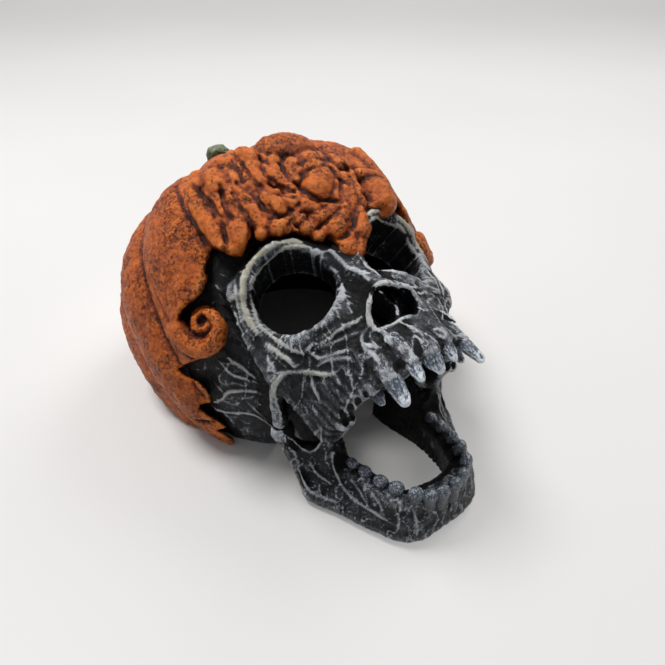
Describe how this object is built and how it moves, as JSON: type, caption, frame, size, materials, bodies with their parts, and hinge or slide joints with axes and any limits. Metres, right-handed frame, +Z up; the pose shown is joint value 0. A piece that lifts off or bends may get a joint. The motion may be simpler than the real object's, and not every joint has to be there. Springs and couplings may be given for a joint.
{
  "type": "skull aquarium ornament",
  "caption": "Hollow aquarium hide in the shape of a pumpkin-headed skull lying on its back with its jaw wide open.",
  "frame": {"origin": "centre of the bounding box at the floor", "axes": "+Z up from the floor, the face looks up and towards -Y, +X to the right when seen from the jaw side, the back of the pumpkin towards +Y"},
  "size_m": [0.1564, 0.206, 0.1249],
  "materials": {
    "orange_skin": "matte cast resin, orange paint with a brown-black wash in the grooves",
    "black_bone": "satin cast resin, black paint with a silver and cream dry brush on the ridges",
    "pale_teeth": "satin cast resin, grey-white dry brush over black",
    "green_stem": "matte cast resin, dull green paint"
  },
  "bodies": {
    "root": {"lower_tooth_left_1": "pale_teeth", "lower_tooth_left_2": "pale_teeth", "lower_tooth_left_3": "pale_teeth", "lower_tooth_left_4": "pale_teeth", "lower_tooth_left_5": "pale_teeth", "lower_tooth_left_6": "pale_teeth", "lower_tooth_left_7": "pale_teeth", "lower_tooth_right_1": "pale_teeth", "lower_tooth_right_2": "pale_teeth", "lower_tooth_right_3": "pale_teeth", "lower_tooth_right_4": "pale_teeth", "lower_tooth_right_5": "pale_teeth", "lower_tooth_right_6": "pale_teeth", "lower_tooth_right_7": "pale_teeth", "mandible": "black_bone", "nasal_septum": "black_bone", "pumpkin_crown": "orange_skin", "skull_braincase": "black_bone", "skull_face": "black_bone", "stem": "green_stem", "temple_curl_left": "orange_skin", "temple_curl_right": "orange_skin", "upper_canine_left": "pale_teeth", "upper_canine_right": "pale_teeth", "upper_incisor_left": "pale_teeth", "upper_incisor_middle": "pale_teeth", "upper_incisor_right": "pale_teeth", "upper_molar_left": "pale_teeth", "upper_molar_right": "pale_teeth", "zygomatic_arch_left": "black_bone", "zygomatic_arch_right": "black_bone"}
  },
  "joints": []
}
